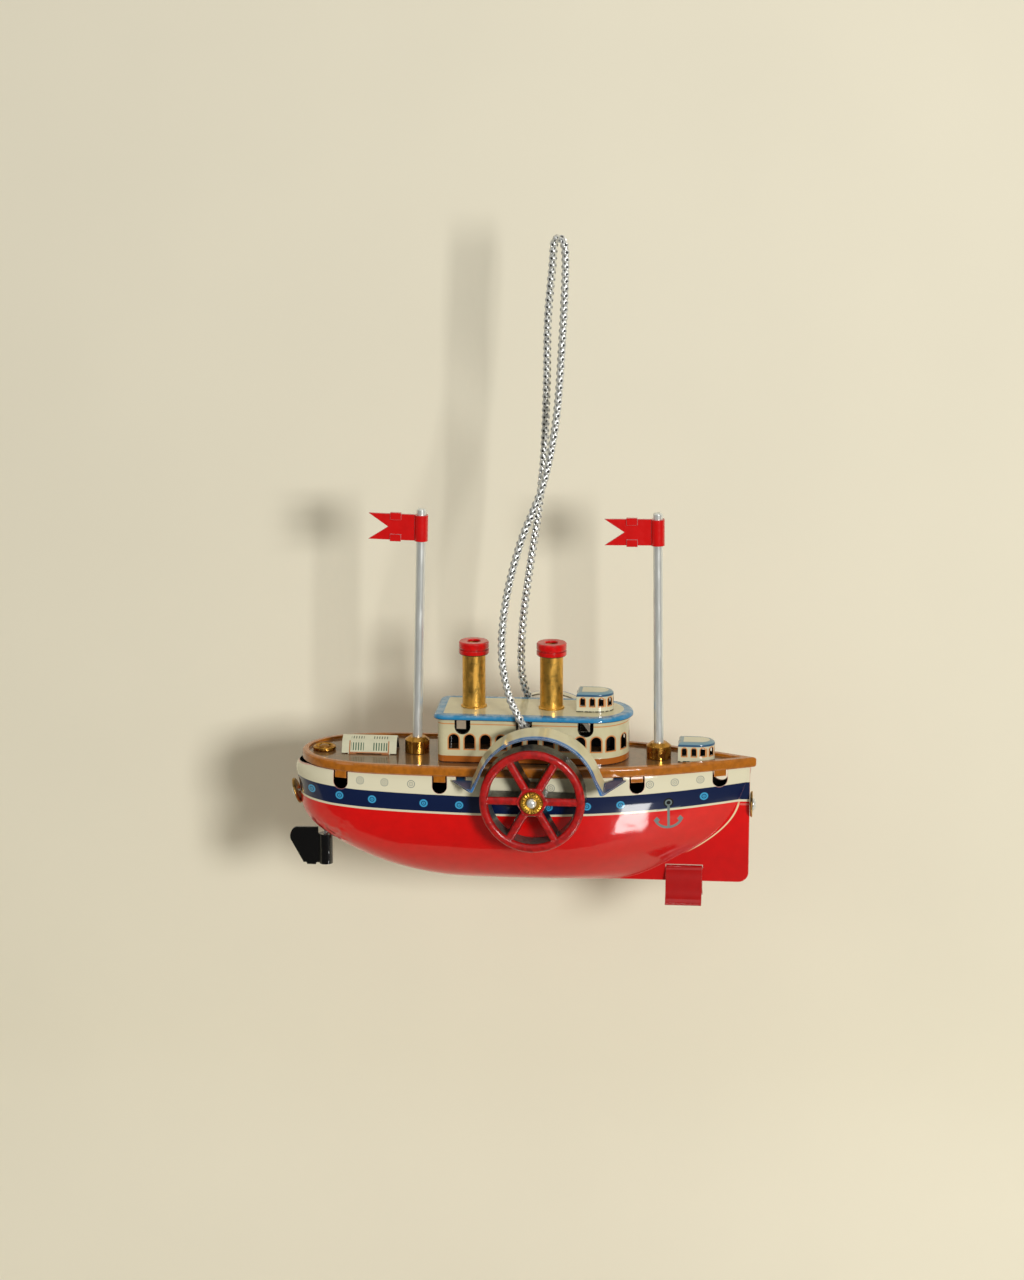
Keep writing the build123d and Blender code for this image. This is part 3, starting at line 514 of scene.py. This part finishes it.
def wheel_finish():
    f = Finish("wheel_paint", (178, 4, 3), rough=0.4, coat=0.5, coat_rough=0.12, edge=0.35)
    depth = abs(f.y)
    far = hypot(f.x, f.z - 25.35)
    back = depth.under(21.75, 0.25)
    f.paint((24, 26, 24), back)
    f.paint((96, 100, 94), far.between(9.9, 10.5, 0.1) * back * f.noise(1.5, detail=4).over(0.3, 0.4))
    f.shade(0.6, f.noise(1.0, detail=5).over(0.52, 0.25))
    worn = f.noise(0.55, detail=5).over(0.58, 0.08) * f.edge_wear(0.5)
    f.paint((214, 168, 158), worn * depth.over(21.6, 0.2) * 0.8)
    f.raise_by((f.noise(0.8, detail=4) - 0.5) * 0.08)
    f.roughen(0.55, f.noise(1.4, detail=4).over(0.5, 0.2))
    return f.done()


def rudder_finish():
    f = Finish("rudder_paint", (7, 7, 8), rough=0.3, coat=1.0, coat_rough=0.06, edge=0.2)
    f.raise_by((f.noise(2.5) - 0.5) * 0.1)
    f.paint((70, 72, 72), f.edge_wear(0.15) * f.noise(0.7, detail=3).over(0.5, 0.2) * 0.6)
    return f.done()


def rosette_finish():
    f = brass_finish("rosette", (190, 150, 84), 0.35)
    f.paint((30, 26, 20), f.noise(1.3, detail=5).over(0.6, 0.12) * 0.8)
    return f.done()


def cord_finish():
    f = Finish("cord", (240, 242, 240), rough=0.22, metal=0.7, edge=0.05)
    f.raise_by((f.noise(0.12, detail=2) - 0.5) * 0.008)
    f.shade(0.6, f.noise(0.5, detail=4).over(0.6, 0.15))
    return f.done()


# Painted shade: the core is near black so the gaps between the braid's strands read dark.
def core_finish():
    f = Finish("cord_core", (26, 23, 22), rough=0.85)
    f.raise_by((f.noise(0.2, detail=3) - 0.5) * 0.05)
    return f.done()


FINISHES = {
    "hull_litho": hull_finish(),
    "deck_litho": deck_finish(),
    "cabin_litho": cabin_finish(),
    "roof_litho": roof_finish(),
    "house_litho": house_finish(),
    "skylight_litho": skylight_finish(),
    "box_litho": box_finish(),
    "stand_paint": stand_finish(),
    "flag_paint": flag_finish(),
    "cap_paint": cap_finish(),
    "funnel_brass": brass_finish("funnel_brass", (226, 176, 84), 0.34).done(),
    "brass": brass_finish("brass", (188, 138, 60), 0.18).done(),
    "steel": steel_finish(),
    "hub_ring": hub_ring_finish(),
    "wheel_paint": wheel_finish(),
    "rudder_paint": rudder_finish(),
    "rosette": rosette_finish(),
}
# The toothed rings share the brass slot but have their own finish.
SPECIAL = {"hub_ring_starboard": "hub_ring", "hub_ring_port": "hub_ring"}
slots = {part["node"]: part["material_slot"] for part in frame["record"]["subparts"]}
for node, obj in frame["nodes"].items():
    finish = SPECIAL.get(node, slots[node])
    if finish in FINISHES:
        obj.data.materials.clear()
        obj.data.materials.append(FINISHES[finish])

# ---- hanging cord ----
# The cord leaves the cabin the same way on both sides, given here to port.
CORD_X, CORD_Z = -2.9, 39.4
CORD_EXIT = [
    (CORD_X, 0, CORD_Z), (CORD_X, 3.6, CORD_Z), (CORD_X, 7.2, CORD_Z),
    (-2.95, 9.5, 39.65), (-3.3, 11.0, 41.1), (-4.4, 11.3, 43.6),
]
STARBOARD_RISE = [
    (-6.6, -10.9, 48.8), (-8.2, -9.9, 58.5), (-7.2, -8.9, 71), (-3.9, -7.4, 84.4),
    (1.1, -5.5, 97.7), (4.0, -3.5, 113), (5.3, -2.1, 132), (5.9, -1.5, 148),
]
PORT_RISE = [
    (-5.4, 10.8, 49.5), (-5.0, 9.8, 60), (-3.4, 8.4, 73), (-1.1, 6.6, 88),
    (0.5, 4.6, 103), (1.2, 3.2, 119.7), (1.5, 2.2, 135), (2.6, 1.5, 148),
]
LOOP_TOP = [(5.5, -1.0, 153.7), (4.3, 0, 154.7), (3.1, 1.0, 153.7)]
STARBOARD = [(x, -y, z) for x, y, z in CORD_EXIT] + STARBOARD_RISE
CORD_COURSE = STARBOARD + LOOP_TOP + PORT_RISE[::-1] + CORD_EXIT[::-1]


CURVE_STEPS = 24


def smooth_path(points, step):
    """Evenly spaced points along a Catmull-Rom curve through the given ones."""
    points = [Vector(p) for p in points]
    fine = []
    for k in range(len(points) - 1):
        before = points[max(k - 1, 0)]
        after = points[min(k + 2, len(points) - 1)]
        a, b = points[k], points[k + 1]
        for j in range(CURVE_STEPS):
            t = j / CURVE_STEPS
            linear_part = (b - before) * t
            square_part = (2 * before - 5 * a + 4 * b - after) * t * t
            cubic_part = (3 * a - before - 3 * b + after) * t ** 3
            fine.append(0.5 * (2 * a + linear_part + square_part + cubic_part))
    fine.append(points[-1])
    path = [fine[0]]
    left = step
    for a, b in zip(fine, fine[1:]):
        length = (b - a).length
        while length >= left:
            a = a + (b - a) * (left / length)
            path.append(a)
            length = (b - a).length
            left = step
        left -= length
    return path


def carried_frames(path):
    """A sideways direction at every point of a path, turned as little as possible."""
    side = Vector((1, 0, 0))
    frames = []
    for k, point in enumerate(path):
        along = (path[min(k + 1, len(path) - 1)] - path[max(k - 1, 0)]).normalized()
        side = (side - along * side.dot(along)).normalized()
        frames.append((point, side, along.cross(side)))
    return frames


def tube(name, frames, centre, across, deep, facets=8):
    """A strand along the frames; centre gives its angle and radius round the path at each step."""
    verts = []
    faces = []
    for k, (point, side, up) in enumerate(frames):
        angle, radius = centre(k)
        outward = side * math.cos(angle) + up * math.sin(angle)
        tangent = up * math.cos(angle) - side * math.sin(angle)
        for j in range(facets):
            turn = 2 * math.pi * j / facets
            high = radius + deep * math.cos(turn)
            verts.append(in_frame(*(point + outward * high + tangent * across * math.sin(turn))))
    for k in range(len(frames) - 1):
        for j in range(facets):
            a = k * facets + j
            b = k * facets + (j + 1) % facets
            faces.append((a, b, b + facets, a + facets))
    mesh = bpy.data.meshes.new(name)
    mesh.from_pydata(verts, [], faces)
    mesh.shade_smooth()
    obj = bpy.data.objects.new(name, mesh)
    scene.collection.objects.link(obj)
    return obj


STEP = 0.3  # along the cord
PITCH = 6.6
PLAITS = 4
cord_path = carried_frames(smooth_path(CORD_COURSE, STEP))
core = tube("cord_core", cord_path, lambda k: (0.0, 0.0), 0.62, 0.62, 10)
core.data.materials.append(core_finish())
strand_finish = cord_finish()
strands = [core]
for hand in (1, -1):
    for n in range(PLAITS):
        def weave(k, hand=hand, n=n):
            turn = 2 * math.pi * (k * STEP / PITCH + n / PLAITS)
            return hand * turn, 0.76 + 0.13 * hand * math.cos(PLAITS * turn + (0 if hand > 0 else math.pi))
        strand = tube(f"cord_strand_{hand + 1}_{n}", cord_path, weave, 0.36, 0.16)
        strand.data.materials.append(strand_finish)
        strands.append(strand)
for strand in strands:
    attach(strand, "cord")
    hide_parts("hanging_cord")

# ---- studio ----
def backdrop():
    """A pale floor that curves up into a wall behind the boat, and can be seen through from behind."""
    floor_z, wall_y, bend = -0.14, 0.055, 0.08
    section = [(-0.12, floor_z)]
    for k in range(25):
        angle = math.radians(90 * k / 24)
        section.append((wall_y - bend + bend * math.sin(angle), floor_z + bend - bend * math.cos(angle)))
    section.append((wall_y, 1.6))
    verts = [(x, y, z) for y, z in section for x in (-1.6, 1.6)]
    faces = [(2 * k, 2 * k + 1, 2 * k + 3, 2 * k + 2) for k in range(len(section) - 1)]
    mesh = bpy.data.meshes.new("backdrop")
    mesh.from_pydata(verts, [], faces)
    mesh.shade_smooth()
    obj = bpy.data.objects.new("backdrop", mesh)
    scene.collection.objects.link(obj)
    f = Finish("backdrop", (232, 226, 206), rough=0.85)
    f.shade(0.97, f.noise(60).over(0.5, 0.5))
    seen_from_front = Num(f.tree, f.geometry.outputs["Backfacing"]).under(0.5, 0.1)
    f.tree.links.new(seen_from_front.socket, f.shader.inputs["Alpha"])
    obj.data.materials.append(f.done())


def softbox(name, place, aim, size, power, diffuse=True, glossy=True):
    """A soft lamp that the camera doesn't see; it can be kept out of the shading or the reflections."""
    light = bpy.data.lights.new(name, "AREA")
    light.shape = "RECTANGLE"
    light.size, light.size_y = size
    light.energy = power
    light.color = (1, 0.985, 0.955)
    obj = bpy.data.objects.new(name, light)
    obj.location = place
    obj.rotation_euler = (Vector(aim) - Vector(place)).to_track_quat("-Z", "Y").to_euler()
    obj.visible_camera = False
    obj.visible_diffuse = diffuse
    obj.visible_glossy = glossy
    scene.collection.objects.link(obj)


def room_light():
    """Even light from the room: darker in reflections, pale where the camera looks past the backdrop."""
    world = bpy.data.worlds.new("world")
    scene.world = world
    world.use_nodes = True
    nodes, links = world.node_tree.nodes, world.node_tree.links
    background = nodes["Background"]
    background.inputs["Color"].default_value = linear((238, 234, 222))
    path = nodes.new("ShaderNodeLightPath")
    glossy = Num(world.node_tree, path.outputs["Is Glossy Ray"])
    direct = Num(world.node_tree, path.outputs["Is Camera Ray"])
    strength = glossy * (ROOM_IN_REFLECTIONS - ROOM) + direct * (ROOM_IN_VIEW - ROOM) + ROOM
    links.new(strength.socket, background.inputs["Strength"])


ROOM = 0.27
ROOM_IN_REFLECTIONS = 0.11
ROOM_IN_VIEW = 0.85
backdrop()
room_light()
softbox("key", (0.36, -0.76, 0.24), (0, 0, 0.05), (0.15, 0.15), 5.3)
softbox("fill", (-0.7, -0.7, 0.5), (0, 0, 0.03), (0.3, 0.8), 0.9)
softbox("top", (0.0, -0.3, 0.9), (0, 0, 0), (0.7, 0.7), 1.1)
softbox("bounce", (0.078, -0.085, -0.056), (0.027, -0.009, 0.027), (0.022, 0.028), 0.035, diffuse=False)
scene.view_settings.view_transform = "Standard"

camera_data = bpy.data.cameras.new("camera")
camera_data.sensor_width = 36
camera_data.sensor_fit = "HORIZONTAL"
camera_data.lens = 120.26
camera_data.clip_start = 0.01
camera = bpy.data.objects.new("camera", camera_data)
eye = in_frame(65.0, -786.9, 258.3)
aim = in_frame(-7.9, 13.4, 55.4)
camera.location = eye
camera.rotation_euler = (aim - eye).to_track_quat("-Z", "Y").to_euler()
scene.collection.objects.link(camera)
scene.camera = camera
